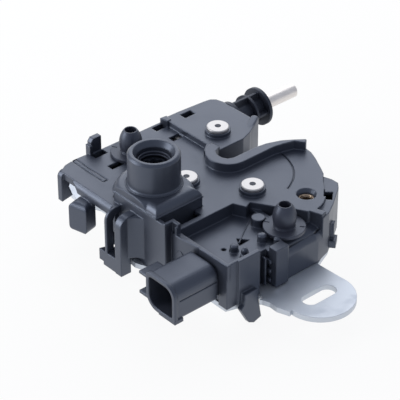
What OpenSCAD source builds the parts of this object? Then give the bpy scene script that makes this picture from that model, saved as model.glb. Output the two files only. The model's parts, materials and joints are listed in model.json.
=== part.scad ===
// Hood latch: a riveted steel latch plate in a moulded cover, with a rotary catch, pawl, safety hook,
// key socket, spring-loaded lift plunger and a switch with its connector.
// The mounting plane is z = 0, the underside of the base plate. The origin is on the catch pivot.
// X runs along the car's width, Y up out of the striker mouth, Z out of the cover.

/* [Base plate] */
// Thickness of the steel base plate
plate_t = 3; // [2:0.5:5]
// Width of the fixing slot in the right ear
slot_w = 9; // [6:0.5:11]
// Length of the fixing slot in the right ear
slot_l = 21; // [14:1:26]
// Radius of the rounded end of the right ear
ear_r = 19; // [15:0.5:22]
// Diameter of the round fixing hole in the left ear
left_hole_d = 9; // [6:0.5:12]
// Diameter of the three rivet shanks
rivet_d = 8; // [6:0.5:10]
// Diameter of the three rivet heads
rivet_head_d = 12.2; // [11:0.2:14]

/* [Cover] */
// Height of the flat top of the cover above the mounting plane
cover_top = 30; // [29:0.5:36]
// Wall thickness of the cover
wall = 2.2; // [1.6:0.2:3]
// Height of the raised pad and of the collar round the striker mouth above the flat top
pad_h = 3.6; // [2:0.2:5]
// Width of the striker mouth
mouth_w = 12.5; // [10:0.5:14]
// Depth of the tray below the flat top
tray_drop = 7; // [4:0.5:8]
// Height of the barrel-shaped rubber pegs above their discs
peg_h = 12.4; // [9:0.2:16]
// Largest diameter of the rubber pegs
peg_d = 12.4; // [10:0.2:14]

/* [Key socket] */
// Outer diameter of the key tower
tower_d = 27.6; // [26:0.2:31]
// Height of the top of the key tower above the mounting plane
tower_top = 59; // [54:0.5:66]
// Diameter of the key tower's bore
tower_bore = 18; // [14:0.5:20]
// Radius of the round housing under the tower
drum_r = 21; // [19:0.5:22]

/* [Latch parts] */
// Thickness of the catch and the pawl
catch_t = 5; // [4:0.5:6]
// Outer radius of the catch
catch_r = 38; // [36:0.5:39]
// Turn of the catch from open to closed in degrees
catch_turn = 36; // [30:1:38]
// Diameter of the lift plunger
plunger_d = 8; // [6:0.5:10]
// Length of the plunger in front of its bush
plunger_out = 27; // [20:1:34]
// Radius of the flange of the plunger's bush
bush_r = 11; // [9:0.5:12]

/* [Connector] */
// Width of the connector shroud
plug_w = 20.7; // [19:0.1:24]
// Height of the connector shroud
plug_h = 19.7; // [16:0.1:22]
// Length of the connector shroud in front of the cover
plug_l = 29.5; // [20:0.5:36]

/* [Hidden] */
$fn = 72;
fit = 0.06;
gap = 0.35;
eps = 0.01;

black = [0.16, 0.17, 0.19];
dark_part = [0.11, 0.12, 0.13];
steel = [0.72, 0.75, 0.78];
bright = [0.86, 0.86, 0.86];
rubber = [0.09, 0.09, 0.10];
brass = [0.72, 0.58, 0.33];

// pivots and axes in the photo's plan, shifted by at_datum so the catch pivot is the origin
p_catch = [11, 26.5];
p_pawl = [-17, 5.5];
p_safe = [-39, 47];
p_key = [-16, -17];
p_rod = [-56, 24];
mouth_x = -18.75;
mouth_y = 30;
peg_r_xy = [42, 20];
peg_l_xy = [-58, 2];
ear_xy = [73.4, 15.1];
left_ear_xy = [-79, -8];
screw_xy = [32, 45];

tray_z = cover_top - tray_drop;
pad_z = cover_top + pad_h;
collar_z = pad_z + 1.6;
skirt_z = plate_t + 0.3;
ceil_z = cover_top - wall;
deep_z = 17;
bush_y = 93.5;
front_y = -28.5;
apron_y = -37;
bay_y = -19.5;
wall_y = -34;
end_x = 12.2;
m0 = mouth_x - mouth_w / 2;
m1 = mouth_x + mouth_w / 2;
neck_x = [29, 46];
neck_z = [6, 19];
catch_z0 = plate_t + 1.2;
catch_z1 = catch_z0 + catch_t;
cam_z = catch_z1 + 0.4;
dome_h = 4.8;
pin_reach = 4.5;
pin_angle = 138;
seat_h = 2.3;
seat_r = rivet_head_d / 2 + 0.9;
hook_z0 = 12.2;
hook_z1 = 16;

module at_datum() {
    translate([-p_catch[0], -p_catch[1], 0]) children();
}

module at(p, z = 0) {
    translate([p[0], p[1], z]) children();
}

function unit(v) = v / norm(v);
function inset(p, d) = [for (i = [0 : len(p) - 1])
    let (
        a = p[(i + len(p) - 1) % len(p)],
        b = p[i],
        c = p[(i + 1) % len(p)],
        u = unit(b - a),
        v = unit(c - b),
        n1 = [-u[1], u[0]],
        n2 = [-v[1], v[0]],
        k = d / (1 + n1 * n2)
    ) b + (n1 + n2) * k];
function ray(c, r, a) = [c[0] + r * cos(a), c[1] + r * sin(a)];
function arc(c, r, a0, a1, n) = [for (i = [0 : n]) ray(c, r, a0 + (a1 - a0) * i / n)];

module box(x0, x1, y0, y1, z0, z1) {
    translate([x0, y0, z0]) cube([x1 - x0, y1 - y0, z1 - z0]);
}

module prism(pts, z0, z1) {
    translate([0, 0, z0]) linear_extrude(z1 - z0) polygon(pts);
}

// a plate drawn in y and z and pushed out along x
module side_prism(pts, x0, x1) {
    translate([x0, 0, 0]) rotate([90, 0, 90]) linear_extrude(x1 - x0) polygon(pts);
}

module post(p, r, z0, z1) {
    at(p, z0) cylinder(r = r, h = z1 - z0);
}

// mouth outline, from the right lip round the bottom to the left lip
mouth_pts = [[-1, 75.5], [-4.5, 71], [-8.5, 65], [m1 + 1, 57], [m1, 50], [m1, mouth_y + 5],
    [m1 - 1.4, mouth_y + 1.6], [m1 - 4.4, mouth_y], [m0 + 4.4, mouth_y], [m0 + 1.4, mouth_y + 1.6],
    [m0, mouth_y + 5], [m0, 53], [-27.5, 60], [-31, 66], [-34.5, 70.5]];
right_pts = [[52.6, front_y], [52.6, -21.5], [53.6, -21.5], [53.6, -7.3], [47, -1.4], [47, 2.6], [53.4, 2.6], [53.3, 13], [53, 25],
    [53, 34], [50, 44], [45.5, 51.5], [40.5, 58.5], [37, 63.5], [33.5, 66.5], [29, 66.5],
    [24.2, 65], [20, 67.4], [15.5, 69.7], [10.5, 72.3], [5, 74.6]];
left_pts = [[-60.9, 70.2], [-65, 69], [-67.2, 66.5], [-67.8, 62.7], [-68.9, 44.8], [-69, 34.4], [-71.5, 34.2],
    [-71.5, -12], [-72.6, -18], [-72.8, -25], [-71.6, -32], [-68.5, apron_y]];
front_pts = [[-28, apron_y], [-28, wall_y], [end_x, wall_y], [end_x, front_y]];
shell_pts = concat(right_pts, mouth_pts, left_pts, front_pts);

// the part of the flat top that is cut down to the tray
low_pts = [[13.5, front_y + 1.8], [51.2, front_y + 1.8], [51.2, -7.3], [70, -7.3], [70, 42], [53.8, 38.5],
    [46.2, 35.6], [38.2, 31], [28.8, 24.4], [18.3, 18], [20.3, 13.7], [13.5, 10.5]];

// countersunk from below, so that the tail lies flush with the mounting plane
module rivet_hole(p) {
    post(p, rivet_d / 2 - 1.1 + fit, -1, plate_t + 1);
    at(p, -0.01) cylinder(r1 = rivet_d / 2 + 1 + fit, r2 = rivet_d / 2 - 1.1 + fit, h = 2.1);
}

module base_plate() {
    body = [[50, -27], [54, -14], [57.6, -9.4], [62, -7.8], [67, -8], [74, -5.5], [ear_xy[0], ear_xy[1] - ear_r],
        [ear_xy[0], ear_xy[1] + ear_r], [69.7, 33.8], [54, 33.2], [51.5, 38], [48, 46], [38, 60],
        [30, 64], [22, 62], [8, 71], [-1, 73.5], [-7, 66], [m1 + 1.5, 56], [m1 + 0.6, 50],
        [m1 + 0.6, mouth_y + 4], [m1 - 3, mouth_y - 1], [m0 + 3, mouth_y - 1],
        [m0 - 0.6, mouth_y + 4], [m0 - 0.6, 55.8], [m0 + 1.2, 55.8], [m0 + 1.2, 66.2], [-28, 68.5], [-62, 68.5],
        [-65, 64], [-65, 34], [-69, 31], [-69, 8], [-80, 6], [-82, -20.5], [-73, -23.4], [-68, -21],
        [-60, -17.5], [-52, -17.5], [-44, -24], [-28, -30], [-24, -34.6], [-18, -35.2],
        [-14, -36.3], [-8.7, -36.8], [-1.5, -34.2], [8, -27]];
    color(steel) at_datum() difference() {
        union() {
            prism(body, 0, plate_t);
            post(ear_xy, ear_r, 0, plate_t);
            post(left_ear_xy, 13.5, 0, plate_t);
            box(-20.8, -16.6, -37.6, -30, 0, plate_t);
            box(-20.8, -16.6, -37.6, -35.6, 0, 12.5);
            side_prism([[56, 0], [66, 0], [66, 19], [64, 21], [59, 21], [56, 18]], m0 - 0.4, m0 + 1.2);
        }
        translate([ear_xy[0], ear_xy[1] - slot_l / 2 + slot_w / 2, -1]) {
            cylinder(d = slot_w, h = plate_t + 2);
            translate([0, slot_l - slot_w, 0]) cylinder(d = slot_w, h = plate_t + 2);
            translate([-slot_w / 2, 0, 0]) cube([slot_w, slot_l - slot_w, plate_t + 2]);
        }
        post(left_ear_xy, left_hole_d / 2, -1, plate_t + 1);
        // notch for the snap leg
        box(52.8, 56.8, -19, -7.6, -1, plate_t + 1);
        rivet_hole(p_catch);
        rivet_hole(p_pawl);
        rivet_hole(p_safe);
    }
}

module cover_solid() {
    difference() {
        prism(shell_pts, skirt_z, cover_top);
        prism(inset(shell_pts, wall), -1, ceil_z);
        // tray and the low ground round the right peg
        prism(low_pts, tray_z, cover_top + 1);
        // ledge round the lobe of the screw hole
        prism([[20.5, 70], [24.2, 65], [29.5, 59.6], [35.1, 55.4], [38.5, 52.9], [41, 50], [43.6, 46], [45, 42], [46.2, 35.6],
            [60, 37], [60, 50], [42, 75]], cover_top - 1.8, cover_top + 1);
        box(m0 - 5, m1 + 6, 20, 56, -1, deep_z);
        box(m0 - 1, m1 + 6, 50, 80, -1, deep_z);
        box(-80, -28.2, -50, bay_y, -1, 26);
    }
}

// rounds the tray's outer edge, from a point on the wall along a heading
module shoulder(p, turn, length) {
    intersection() {
        at(p) rotate([0, 0, turn]) difference() {
            box(-8, 7, -2, length, tray_z - 7.6, tray_z + 12);
            translate([-8, 40, tray_z - 8]) rotate([90, 0, 0]) cylinder(r = 8, h = 60);
        }
        prism([[40, 10.5], [70, 10.5], [70, 41.8], [53.8, 38.5], [40, 34]], 0, 60);
    }
}

module cover() {
    color(black) at_datum() difference() {
        union() {
            cover_solid();
            // tray floor and its back wall
            intersection() {
                prism(inset(shell_pts, 0.5), tray_z - wall, tray_z);
                prism([[end_x - 1, front_y], [60, front_y], [60, 42], [36, 36], [14, 22], [end_x - 1, 12]], 0, 40);
            }
            difference() {
                intersection() {
                    prism(inset(shell_pts, 0.5), tray_z - wall, cover_top);
                    prism([[end_x - 1, front_y], [end_x - 1, 11], [16, 20], [26, 27], [36, 34], [44, 39], [52, 42], [60, 42],
                        [60, front_y]], 0, 40);
                }
                prism(low_pts, tray_z - wall - 1, cover_top + 1);
            }
            // raised pad with the safety rivet
            difference() {
                prism(concat([[m0, 53], [-27.5, 60], [-31, 66], [-34.5, 70.5]], [for (i = [0 : 5]) left_pts[i]],
                    [[m0 - 9, 34.5], [m0 - 5, 29], [m0, 33]]), ceil_z, pad_z);
                prism(inset([[m0 - 4, 53], [-34, 68], [-62, 68], [-64.6, 64], [-64.6, 36.5], [m0 - 8, 36.5]], 0),
                    ceil_z - 1, pad_z - wall);
            }
            // collar round the mouth
            difference() {
                union() {
                    post([mouth_x, mouth_y + 6.25], mouth_w / 2 + 6, deep_z, collar_z);
                    prism([[mouth_x, mouth_y + 6], [m1 + 6, mouth_y + 6], [m1 + 6, 58], [m1 + 7, 63], [-3.5, 70],
                        [1.5, 73.5], [-1, 75.5], [-4.5, 71], [mouth_x, 60]], deep_z, collar_z);
                    prism([[mouth_x, mouth_y + 6], [mouth_x, 60], [-27.5, 60], [m0 - 5, 53], [m0 - 6, mouth_y + 6]],
                        deep_z, pad_z);
                    post([-0.6, 74.2], 1.5, ceil_z, collar_z);
                }
                prism(concat(mouth_pts, [[-30, 90], [0, 90]]), deep_z - 1, collar_z + 1);
                prism([[m0 - 20, 36], [m0, 36], [m0, 54], [-27.5, 60], [-40, 60]], pad_z, collar_z + 1);
            }
            // skirts behind the overhang at the left front
            box(-71, -28.2, bay_y, bay_y + wall, skirt_z, ceil_z + 1);
            box(-30.2, -28, wall_y, bay_y + wall, skirt_z, ceil_z + 1);
            // low wall under the drum, the front wall with its end face
            box(-28, end_x, wall_y, wall_y + wall, 5.5, 35.5);
            box(-28, -24, apron_y, wall_y + wall, 14, cover_top);
            // lip round the guide groove
            box(end_x - 1.7, end_x, wall_y, wall_y + 6.8, 5.5, 36.2);
            box(end_x - 1.7, end_x + 4.2, wall_y + 5, wall_y + 6.8, 20, 36.2);
            box(end_x + 2.6, end_x + 4.2, front_y - 1.5, wall_y + 6.8, 20, 34.4);
            box(end_x - 1, end_x + 8, front_y - 1.5, front_y + 0.5, 5.5, cover_top);
            // floor and ribs of the trench beside the drum
            box(end_x - 8, end_x - 1, wall_y + 1, -7.6, ceil_z - 4.4, ceil_z - 2.6);
            // front rim of the tray
            box(end_x, 53, front_y, front_y + 1.8, tray_z - wall, cover_top);
            // left end of the housing: apron, hook arm and rounded box
            difference() {
                side_prism(concat([[apron_y + 2.4, 24.5], [apron_y + 2.4, cover_top]],
                    arc([apron_y + 2, cover_top - 3.6], 3.6, 90, 180, 8), [[apron_y - 1.6, 24.5]]), -58, -26);
                translate([-58, apron_y - 4, 23.5]) rotate([-90, 0, 0]) cylinder(r = 5, h = 8);
            }
            side_prism(concat([[-31, cover_top - 3], [-31, cover_top]], arc([-35, cover_top - 3.4], 3.4, 90, 180, 8),
                [[-38.4, 12.3], [-31.4, 13.6], [-33.6, 20]]), -70, -66.6);
            difference() {
                union() {
                    translate([-50.4, -46.6, 0]) rotate([0, 0, 13.9]) soft_box([0, 0, 6.6], [11.4, 8, 17.6], 3.4);
                    box(-50, -41, apron_y - 1.6, apron_y + 0.6, 18, 25.5);
                }
                translate([-50.4, -46.6, 0]) rotate([0, 0, 13.9]) box(2, 9.4, 2, 20, 5, 20);
            }
            // loop bracket in the recess
            bracket();
            // pedestals under the rivet heads
            post(p_catch, seat_r, ceil_z - 1, cover_top + seat_h);
            post(p_pawl, seat_r, ceil_z - 1, cover_top + seat_h);
            post(p_safe, seat_r, ceil_z - 1, pad_z + seat_h);
            // raised ring ends and ribs
            prism([[-69.8, 32.4], [-64.8, 33.6], [-65, 36.2], [-69.4, 36.6]], cover_top - 3, pad_z + 0.5);
            // boss and ledge plate round the screw hole
            post(screw_xy, 7.6, 18.7, cover_top - 1.8);
            intersection() {
                prism(inset(shell_pts, 0.5), cover_top - 4, cover_top - 1.8);
                box(26, 60, 36, 70, 0, 60);
            }
            // base of the right peg
            post(peg_r_xy, 8.6, tray_z - 1, tray_z + 2.1);
            // small round post by the right peg
            post([28.4, 14.6], 3.6, tray_z - 1, tray_z + 4.5);
            box(19, 31, 17.8, 21, tray_z - 1, tray_z + 3.2);
            at([37.7, -10.4], tray_z - 1) cylinder(r1 = 2.6, r2 = 2.1, h = 3.4);
            at([45.7, -10.4], tray_z - 1) cylinder(r1 = 2.6, r2 = 2.1, h = 3.4);
            post([40.5, 6], 2.4, tray_z - 1, tray_z + 3);
            post([47.2, 10.4], 2, tray_z - 1, tray_z + 2.6);
            // plunger abutment and switch rails
            box(p_rod[0] - 8, p_rod[0] + 8, 33, 36, deep_z, ceil_z + 1);
            // boss of the plunger bush
            translate([p_rod[0], 70.4, p_rod[1]]) rotate([90, 0, 0]) cylinder(r = 9.4, h = 4);
            // snap leg on the right, with its barb
            side_prism([[-19.4, 10], [-19.4, 7.4], [-20, 4], [-22.2, 1.8], [-16.7, -8.2], [-13.3, -9.9], [-8.4, -8.3], [-10, 1],
                [-11.2, 10]], 53.5, 56.2);
            // slab that stands proud of the wall
            box(50, 55.6, 2.1, 10.4, 4, tray_z + 3.4);
            // snap barb on the far right wall
            prism([[44, 50.6], [48, 45.5], [51.4, 48.2], [47.4, 53.4]], 4.4, 8.5);
            prism([[44.6, 49.8], [46.6, 47.2], [49, 49], [47, 51.7]], 8.4, 18);
            // clip tab at the left slot
            side_prism([[-14.2, cover_top - 2], [-14.2, cover_top + 6.6], [-12.6, cover_top + 8.6], [-7.4, cover_top + 8.6],
                [-7.4, cover_top - 2]], -74.6, -71.4);
            box(-74.6, -70.8, -15.4, -13.6, cover_top - 2, cover_top + 5);
        }
        // holes through the top for the drum and beside it
        difference() {
            post(p_key, drum_r + 0.3, ceil_z - 5, 60);
            post(p_pawl, seat_r, 0, 60);
            box(-80, 40, -80, wall_y + wall + eps, 0, 60);
        }
        box(p_key[0], p_key[0] + drum_r + 0.3, wall_y + wall, p_key[1], ceil_z - 5, 60);
        box(p_key[0], p_key[0] + drum_r + 0.3, p_key[1], -2.5, ceil_z - 5, 60);
        box(end_x - 7.2, end_x - 1.8, wall_y + wall + eps, -8.6, ceil_z - 2.6, 60);
        // rounded shoulder of the tray's outer edge
        shoulder([53.4, 10.5], 0, 25.5);
        shoulder([53, 34], 16.7, 5.4);
        // square slots of the cover
        box(-70.8, -66.4, -15.4, -7.3, ceil_z - 3, 60 - 20);
        box(-56.2, -52, -15.5, -7.1, ceil_z - 3, 40);
        box(-69.9, -65.6, 26.4, 33.8, ceil_z - 3, cover_top + 0.5);
        box(-56.2, -52, 26.8, 33.8, ceil_z - 3, cover_top + 0.5);
        box(-65.8, -61.3, 43.2, 50.7, ceil_z - 1, pad_z + 1);
        // shallow groove on the left
        difference() {
            box(-72.6, -45.6, -26.9, -23.5, cover_top - 0.5, cover_top + 1);
            box(-71.8, -46.4, -26.1, -24.3, cover_top - 1, cover_top + 1);
        }
        // arc groove by the mouth
        difference() {
            post([-8, 30], 32.4, cover_top - 0.7, cover_top + 1);
            post([-8, 30], 31.6, cover_top - 1, cover_top + 2);
            box(-60, 60, -10, 41, cover_top - 2, cover_top + 2);
            box(-60, -5.6, -10, 80, cover_top - 2, cover_top + 2);
        }
        // countersunk screw hole and window
        at(screw_xy, cover_top - 2) cylinder(r1 = 4.1, r2 = 5.4, h = 2.01);
        post(screw_xy, 4.1, tray_z - 6, cover_top + 1);
        prism([[34.9, 55], [39.4, 50.2], [42.9, 53], [37.9, 58.5]], tray_z, cover_top + 1);
        // triangle windows and half-round pockets of the tray floor
        prism([[30.6, -2.4], [36.2, -5.4], [35.8, 2]], tray_z - 3, tray_z + 1);
        prism([[44, -6.4], [47.6, -7], [46.4, -3.4]], tray_z - 3, tray_z + 1);
        post([33.5, -13.6], 1.2, tray_z - 3, tray_z + 1);
        // opening in the front for the connector's neck and the switch carrier
        box(neck_x[0] - gap, neck_x[1] + gap, front_y - 1, front_y + 4, 0, neck_z[1] + gap);
        // rivet shanks
        post(p_catch, rivet_d / 2 + 0.1, 0, 60);
        post(p_pawl, rivet_d / 2 + 0.1, 0, 60);
        post(p_safe, rivet_d / 2 + 0.1, 0, 60);
        // plunger bore and abutment bore
        translate([p_rod[0], 90, p_rod[1]]) rotate([90, 0, 0]) cylinder(r = 6.6, h = 30);
        translate([p_rod[0], 69, p_rod[1]]) rotate([90, 0, 0]) cylinder(r = 7.2, h = 33);
        translate([p_rod[0], 40, p_rod[1]]) rotate([90, 0, 0]) cylinder(r = plunger_d / 2 + 0.4, h = 25);
        // peg pins
        post(peg_r_xy, 11.3, tray_z + 2.1, tray_z + 4.4);
        post(peg_r_xy, 3.1, tray_z - 5, tray_z + 4);
        post(peg_l_xy, 3.1, cover_top - 5, cover_top + 2);
    }
}

// two straps that curve out of the recess and down, joined by a bar
module bracket() {
    outer = -44.5;
    inner = -38;
    strap = concat([[wall_y, 31.2]], arc([outer + 6, 25.2], 6, 90, 180, 8),
        [[outer, -3.4], [inner, -3.4], [inner, 24.5]], arc([inner + 2, 24.5], 2, 180, 90, 4), [[wall_y, 26.5]]);
    thin = concat([[wall_y, 31]], arc([outer + 6, 25], 6, 90, 180, 8),
        [[outer, 0], [outer + 4.5, 0], [outer + 4.5, 24]], [[outer + 6, 27], [wall_y, 27]]);
    side_prism(strap, -15.3, -10.6);
    side_prism(thin, -23.4, -21.8);
    box(-25, -10.6, outer, inner, -3, 5.6);
    prism([[-28.3, outer], [-24, outer], [-24, inner], [-26, inner]], -1, 5.6);
    difference() {
        box(-10.7, -3, outer + 3, wall_y + 1, 6, 31);
        translate([-2.6, outer + 2.25, 0]) cylinder(r = 8.4, h = 40);
    }
}

// a box with rounded edges along all three axes, from its low corner and its size
module soft_box(low, size, r) {
    x1 = low[0] + size[0];
    y1 = low[1] + size[1];
    z1 = low[2] + size[2];
    intersection() {
        side_prism(concat([[y1, low[2]], [y1, z1]], arc([low[1] + r, z1 - r], r, 90, 180, 8),
            arc([low[1] + r * 0.6, low[2] + r * 0.6], r * 0.6, 180, 270, 6)), low[0], x1);
        along_y(low[1], y1) polygon(concat(arc([low[0] + r, z1 - r], r, 90, 180, 8), arc([low[0] + r, low[2] + r], r, 180, 270, 8),
            arc([x1 - r, low[2] + r], r, 270, 360, 8), arc([x1 - r, z1 - r], r, 0, 90, 8)));
    }
}

// top edge of the cap between two sides, rounded on both
function rounded_top(a, b) = concat([[b, 36]], arc([b - dome_h, 36], dome_h, 0, 90, 8), arc([a + dome_h, 36], dome_h, 90, 180, 8));

module key_tower() {
    rx = p_key[0] + drum_r;
    fy = wall_y;
    color(black) at_datum() difference() {
        union() {
            intersection() {
                union() {
                    post(p_key, drum_r, ceil_z - 4, 36);
                    box(p_key[0], rx, fy + wall + 0.2, p_key[1], ceil_z - 4, 36);
                    box(p_key[0], rx, p_key[1], -2.8, ceil_z - 4, 36);
                }
                box(-80, rx, fy + wall + 0.2, 20, 0, 60);
            }
            // domed cap over the drum, its lip lies on the front wall
            intersection() {
                union() {
                    post(p_key, drum_r + 0.5, 35.6, 36.4);
                    box(p_key[0], rx + 0.5, fy - 0.3, p_key[1], 35.6, 36.4);
                    box(p_key[0], rx + 0.5, p_key[1], -2.5, 35.6, 36.4);
                }
                box(-80, rx + 0.5, fy - 0.3, 20, 0, 60);
            }
            intersection() {
                union() {
                    at(p_key, 36) rotate_extrude() union() {
                        square([drum_r - dome_h, dome_h]);
                        intersection() {
                            translate([drum_r - dome_h, 0]) circle(r = dome_h);
                            square([drum_r, dome_h]);
                        }
                    }
                    intersection() {
                        side_prism(rounded_top(fy + 0.4, -2.9), p_key[0], rx);
                        along_y(fy, 0) polygon(rounded_top(p_key[0] - 20, rx));
                    }
                }
                box(-80, rx, fy + 0.3, 20, 0, 60);
            }
            post(p_key, tower_d / 2, 38, tower_top - 1.2);
            at(p_key, 36 + dome_h - 0.01) cylinder(r1 = tower_d / 2 + 1, r2 = tower_d / 2, h = 1);
            at(p_key, tower_top - 1.2) cylinder(r1 = tower_d / 2, r2 = tower_d / 2 - 1.2, h = 1.2);
        }
        post(p_key, tower_bore / 2, 0, tower_top + 1);
        post(p_pawl, seat_r + gap, 0, 45);
        at(p_key, tower_top - 3) cylinder(r1 = tower_bore / 2, r2 = tower_bore / 2 + 2, h = 3.01);
        post(p_key, 12, 0, 30);
    }
}

module key_rotor() {
    color(dark_part) at_datum() difference() {
        union() {
            post(p_key, tower_bore / 2 - fit, cam_z + 3.2, 47);
            post(p_key, tower_bore / 2 + 1.8, 18, 26);
        }
        post(p_key, 6.4, 30, 60);
        post(p_key, 4, 0, 31);
    }
}

module key_insert() {
    color(steel) at_datum() difference() {
        post(p_key, 6.4, 30, 38);
        at(p_key, 31) for (i = [0 : 2]) rotate([0, 0, 60 * i]) translate([-5, -1.5, 0]) cube([10, 3, 12]);
        post(p_key, 3.5, 31, 60);
    }
}

module key_cam() {
    color(steel) at_datum() difference() {
        union() {
            post(p_key, 9.5, cam_z, cam_z + 3);
            post(ray(p_key, pin_reach, pin_angle), 1.6, catch_z0 + 0.4, cam_z + 0.5);
            post(p_key, 4 - fit, cam_z, 29.8);
        }
        post(p_key, 1.6, 0, 40);
    }
}

module key_seal() {
    color(rubber) at_datum() at(p_key, 52) rotate_extrude() translate([tower_bore / 2 - 0.75, 0]) circle(r = 0.7);
}

module release_lever() {
    color(dark_part) at_datum() difference() {
        union() {
            post(p_pawl, 7, 19, 22.5);
            prism([[-19, -2], [-15, -2], [-10.5, 5], [-14, 12], [-20, 12], [-33, 25.5], [-37, 24], [-36, 20], [-23.5, 5]],
                19, 22.5);
            post([-34.8, 22.8], 3, 16.5, 22.5);
        }
        post(p_pawl, rivet_d / 2 + fit, 0, 40);
    }
}

module catch_outline() {
    polygon(concat(
        [ray([0, 0], 12, 100), ray([0, 0], catch_r - 4, 124), ray([0, 0], catch_r, 128)],
        arc([0, 0], catch_r, 130, 150, 4),
        [ray([0, 0], catch_r - 2, 153), ray([0, 0], 34, 155), ray([0, 0], 36, 171)],
        arc([0, 0], catch_r + 1, 174, 190, 4),
        [ray([0, 0], catch_r, 192.5), ray([0, 0], 34, 188), ray([0, 0], 28.5, 181), ray([0, 0], 22.2, 178)],
        arc([0, 0], 22.2, 180, 196, 4),
        arc([0, 0], 25.2, 197.5, 224, 6),
        [ray([0, 0], 20, 228)],
        arc([0, 0], 20, 234, 276, 8),
        [ray([0, 0], 12, 300)]));
}

module catch_pose(a = 0) {
    at(p_catch) rotate([0, 0, -catch_turn + a]) children();
}

module catch() {
    color(steel) at_datum() catch_pose() difference() {
        union() {
            translate([0, 0, catch_z0]) linear_extrude(catch_t) catch_outline();
            translate([0, 0, catch_z0]) cylinder(r = 13, h = catch_t);
        }
        translate([0, 0, -1]) cylinder(r = rivet_d / 2 + fit, h = 40);
        rotate([0, 0, 162.3]) {
            translate([31.2, 0, -1]) cylinder(r = 5.25, h = 40);
            translate([31.2, -5.25, -1]) cube([20, 10.5, 40]);
        }
    }
}

module catch_sleeve() {
    color(dark_part) at_datum() catch_pose() difference() {
        translate([0, 0, catch_z0 - 0.7]) linear_extrude(catch_t + 1.8) polygon(concat(
            [ray([0, 0], 21, 118), ray([0, 0], catch_r - 3.4, 122)],
            arc([0, 0], catch_r + 0.9, 126.5, 151, 4),
            [ray([0, 0], catch_r - 2, 154.6), ray([0, 0], 34.6, 155.5), ray([0, 0], 36, 170)],
            arc([0, 0], catch_r + 1.9, 172.6, 191, 4),
            [ray([0, 0], catch_r, 194), ray([0, 0], 33.9, 189), ray([0, 0], 28.4, 182), ray([0, 0], 23, 176)]));
        translate([0, 0, catch_z0]) linear_extrude(catch_t) catch_outline();
        rotate([0, 0, 162.3]) {
            translate([31.2, 0, -1]) cylinder(r = 4.6, h = 40);
            translate([31.2, -4.6, -1]) cube([20, 9.2, 40]);
        }
    }
}

// a close-wound spring of touching rings with two straight legs
module ring_spring(r, wire, n, z, a0, l0, a1, l1) {
    translate([0, 0, z + wire / 2]) {
        rotate_extrude($fn = 40) translate([r - wire / 2, -wire / 2]) union() {
            for (i = [0 : n - 1]) translate([0, i * wire]) polygon([[0, 0.35], [0.35, 0], [wire - 0.35, 0], [wire, 0.35],
                [wire, wire - 0.35], [wire - 0.35, wire], [0.35, wire], [0, wire - 0.35]]);
        }
        rotate([0, 0, a0]) translate([r - wire * 0.4, 0, -wire * 0.4]) cube([wire * 0.8, l0, wire * 0.8]);
        rotate([0, 0, a1]) translate([r - wire * 0.4, -l1, (n - 1.4) * wire]) cube([wire * 0.8, l1, wire * 0.8]);
    }
}

module catch_spring() {
    color(bright) at_datum() at(p_catch) ring_spring(7, 1.6, 5, catch_z1 + 0.3, -50, 16, 40, 20);
}

module pawl_spring() {
    color(bright) at_datum() at(p_pawl) ring_spring(6, 1.3, 4, catch_z1 - 0.2, 150, 8, 230, 12);
}

module safety_spring() {
    color(bright) at_datum() at(p_safe) ring_spring(6.4, 1.4, 4, hook_z1 + 0.3, 190, 14, 200, 9);
}

module pawl() {
    n = [p_catch[0] + 25.75 * cos(190), p_catch[1] + 25.75 * sin(190)];
    color(steel) at_datum() difference() {
        union() {
            post(p_pawl, 7.5, catch_z0, catch_z1 - 0.5);
            prism([[-9.8, 7], [n[0] + 1.2, n[1] - 4.2], n, [n[0] - 0.6, n[1] + 2.2], [n[0] - 2.4, n[1] + 1.4],
                [n[0] - 5.6, n[1] - 4], [-23.5, 9], [-22, 3], [-17.7, -6], [-17.5, -15], [-13.6, -15], [-12, 0]],
                catch_z0, catch_z1 - 0.5);
        }
        post(p_pawl, rivet_d / 2 + fit, -1, 40);
    }
}

module safety_hook() {
    color(steel) at_datum() difference() {
        union() {
            post(p_safe, 9, hook_z0, hook_z1);
            prism([[-36, 38.6], [-29, 46.6], [m1 - 2.9, 47.4], [m1 - 1.4, 49.5], [m1 - 3, 52], [-24, 54.6], [-33, 55.4],
                [-40, 56]], hook_z0, hook_z1);
            prism([[-44, 40], [-37, 38.4], [-35.6, 30], [-38, 27.6], [-41, 29.6]], hook_z0, hook_z1);
        }
        post(p_safe, rivet_d / 2 + fit, -1, 40);
    }
}

module rod_axis(y0, y1, r) {
    translate([p_rod[0], y1, p_rod[1]]) rotate([90, 0, 0]) cylinder(r = r, h = y1 - y0);
}

module plunger() {
    tip = bush_y + plunger_out;
    color(bright) at_datum() difference() {
        union() {
            rod_axis(32, tip - 1.6, plunger_d / 2);
            translate([p_rod[0], tip - 1.6, p_rod[1]]) rotate([-90, 0, 0])
                cylinder(r1 = plunger_d / 2, r2 = plunger_d / 2 - 1.6, h = 1.6);
        }
        difference() {
            rod_axis(57, 58.6, plunger_d / 2 + 2);
            rod_axis(56, 60, plunger_d / 2 - 0.8);
        }
    }
}

module plunger_clip() {
    color(steel) at_datum() difference() {
        rod_axis(57.1, 58.5, 6);
        rod_axis(56, 60, plunger_d / 2 - 0.78);
        translate([p_rod[0] - 1.6, 50, p_rod[1] - 10]) cube([3.2, 12, 10]);
    }
}

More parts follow.
